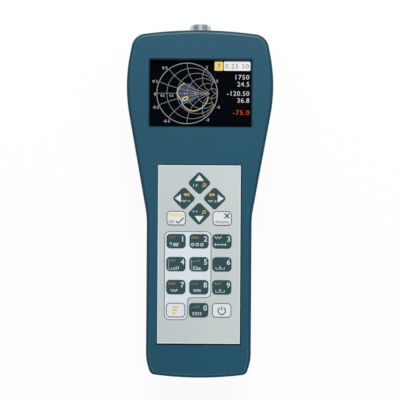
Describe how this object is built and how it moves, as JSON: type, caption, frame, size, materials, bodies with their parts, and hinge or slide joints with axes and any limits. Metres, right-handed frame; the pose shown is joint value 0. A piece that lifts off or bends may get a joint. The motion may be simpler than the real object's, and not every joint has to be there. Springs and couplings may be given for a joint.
{
  "type": "antenna analyzer",
  "caption": "Handheld antenna analyzer: a waisted two-part case with a colour screen, a keypad of sprung keys, a threaded coaxial socket on its head and a sliding battery door.",
  "frame": {"origin": "on the flat of the back, in the middle of the case's width and length; the part lies on its back", "axes": "+Y towards the antenna socket, +Z out of the face, +X to the right seen from the face"},
  "size_m": [0.1034, 0.2513, 0.0501],
  "materials": {
    "case_shell": "fine satin texture, moulded",
    "window_clear": "clear, polished, low reflection",
    "gasket_black": "matt adhesive foam",
    "display_black": "dark display glass",
    "frame_steel": "pressed sheet",
    "flex_amber": "thin polyimide sheet",
    "film_grey": "fine satin printed film",
    "spacer_white": "plain sheet",
    "dome_steel": "thin pressed domes",
    "key_dark": "embossed printed film, satin gloss",
    "key_light": "embossed printed film, satin gloss",
    "board_green": "solder mask",
    "chip_black": "moulded packages",
    "connector_cream": "moulded",
    "shield_tin": "folded tinned sheet",
    "socket_nickel": "nickel-plated brass, turned",
    "insulator_white": "waxy fluoropolymer",
    "contact_gold": "gold plated",
    "screw_steel": "zinc plated",
    "cell_wrap": "printed sleeve",
    "spring_steel": "nickel-plated wire and sheet",
    "port_steel": "tinned shell"
  },
  "bodies": {
    "case": {"front_cover": "case_shell", "rear_cover": "case_shell", "display_window": "window_clear", "window_gasket": "gasket_black", "display_panel": "display_black", "display_frame": "frame_steel", "display_flex": "flex_amber", "display_connector": "connector_cream", "keypad_overlay": "film_grey", "keypad_spacer": "spacer_white", "keypad_domes": "dome_steel", "keypad_circuit": "flex_amber", "keypad_connector": "connector_cream", "main_board": "board_green", "rf_shield": "shield_tin", "board_chips": "chip_black", "buzzer": "chip_black", "usb_socket": "port_steel", "usb_tongue": "chip_black", "antenna_socket_body": "socket_nickel", "antenna_socket_insulator": "insulator_white", "antenna_socket_contact": "contact_gold", "antenna_socket_ring": "socket_nickel", "antenna_socket_screws": "screw_steel", "case_screws": "screw_steel", "board_screws": "screw_steel", "battery_springs": "spring_steel", "battery_contacts": "spring_steel", "battery_cell_1": "cell_wrap", "battery_cell_2": "cell_wrap", "battery_cell_3": "cell_wrap"},
    "door": {"battery_door": "case_shell"},
    "key_up_body": {"key_up": "key_dark"},
    "key_down_body": {"key_down": "key_dark"},
    "key_left_body": {"key_left": "key_dark"},
    "key_right_body": {"key_right": "key_dark"},
    "key_0_body": {"key_0": "key_dark"},
    "key_1_body": {"key_1": "key_dark"},
    "key_2_body": {"key_2": "key_dark"},
    "key_3_body": {"key_3": "key_dark"},
    "key_4_body": {"key_4": "key_dark"},
    "key_5_body": {"key_5": "key_dark"},
    "key_6_body": {"key_6": "key_dark"},
    "key_7_body": {"key_7": "key_dark"},
    "key_8_body": {"key_8": "key_dark"},
    "key_9_body": {"key_9": "key_dark"},
    "key_ok_body": {"key_ok": "key_light"},
    "key_cancel_body": {"key_cancel": "key_light"},
    "key_f_body": {"key_f": "key_light"},
    "key_power_body": {"key_power": "key_light"}
  },
  "joints": [
    {"name": "key_up_press", "type": "slide", "parent": "case", "child": "key_up_body", "axis": [0, 0, -1], "range_m": [0, 0.0005], "stiffness_N_per_m": 4000, "deforming": ["keypad_domes"]},
    {"name": "key_down_press", "type": "slide", "parent": "case", "child": "key_down_body", "axis": [0, 0, -1], "range_m": [0, 0.0005], "stiffness_N_per_m": 4000, "deforming": ["keypad_domes"]},
    {"name": "key_left_press", "type": "slide", "parent": "case", "child": "key_left_body", "axis": [0, 0, -1], "range_m": [0, 0.0005], "stiffness_N_per_m": 4000, "deforming": ["keypad_domes"]},
    {"name": "key_right_press", "type": "slide", "parent": "case", "child": "key_right_body", "axis": [0, 0, -1], "range_m": [0, 0.0005], "stiffness_N_per_m": 4000, "deforming": ["keypad_domes"]},
    {"name": "key_0_press", "type": "slide", "parent": "case", "child": "key_0_body", "axis": [0, 0, -1], "range_m": [0, 0.0005], "stiffness_N_per_m": 4000, "deforming": ["keypad_domes"]},
    {"name": "key_1_press", "type": "slide", "parent": "case", "child": "key_1_body", "axis": [0, 0, -1], "range_m": [0, 0.0005], "stiffness_N_per_m": 4000, "deforming": ["keypad_domes"]},
    {"name": "key_2_press", "type": "slide", "parent": "case", "child": "key_2_body", "axis": [0, 0, -1], "range_m": [0, 0.0005], "stiffness_N_per_m": 4000, "deforming": ["keypad_domes"]},
    {"name": "key_3_press", "type": "slide", "parent": "case", "child": "key_3_body", "axis": [0, 0, -1], "range_m": [0, 0.0005], "stiffness_N_per_m": 4000, "deforming": ["keypad_domes"]},
    {"name": "key_4_press", "type": "slide", "parent": "case", "child": "key_4_body", "axis": [0, 0, -1], "range_m": [0, 0.0005], "stiffness_N_per_m": 4000, "deforming": ["keypad_domes"]},
    {"name": "key_5_press", "type": "slide", "parent": "case", "child": "key_5_body", "axis": [0, 0, -1], "range_m": [0, 0.0005], "stiffness_N_per_m": 4000, "deforming": ["keypad_domes"]},
    {"name": "key_6_press", "type": "slide", "parent": "case", "child": "key_6_body", "axis": [0, 0, -1], "range_m": [0, 0.0005], "stiffness_N_per_m": 4000, "deforming": ["keypad_domes"]},
    {"name": "key_7_press", "type": "slide", "parent": "case", "child": "key_7_body", "axis": [0, 0, -1], "range_m": [0, 0.0005], "stiffness_N_per_m": 4000, "deforming": ["keypad_domes"]},
    {"name": "key_8_press", "type": "slide", "parent": "case", "child": "key_8_body", "axis": [0, 0, -1], "range_m": [0, 0.0005], "stiffness_N_per_m": 4000, "deforming": ["keypad_domes"]},
    {"name": "key_9_press", "type": "slide", "parent": "case", "child": "key_9_body", "axis": [0, 0, -1], "range_m": [0, 0.0005], "stiffness_N_per_m": 4000, "deforming": ["keypad_domes"]},
    {"name": "key_ok_press", "type": "slide", "parent": "case", "child": "key_ok_body", "axis": [0, 0, -1], "range_m": [0, 0.0005], "stiffness_N_per_m": 4000, "deforming": ["keypad_domes"]},
    {"name": "key_cancel_press", "type": "slide", "parent": "case", "child": "key_cancel_body", "axis": [0, 0, -1], "range_m": [0, 0.0005], "stiffness_N_per_m": 4000, "deforming": ["keypad_domes"]},
    {"name": "key_f_press", "type": "slide", "parent": "case", "child": "key_f_body", "axis": [0, 0, -1], "range_m": [0, 0.0005], "stiffness_N_per_m": 4000, "deforming": ["keypad_domes"]},
    {"name": "key_power_press", "type": "slide", "parent": "case", "child": "key_power_body", "axis": [0, 0, -1], "range_m": [0, 0.0005], "stiffness_N_per_m": 4000, "deforming": ["keypad_domes"]},
    {"name": "battery_door_slide", "type": "slide", "parent": "case", "child": "door", "axis": [0, -1, 0], "range_m": [0, 0.062]}
  ]
}
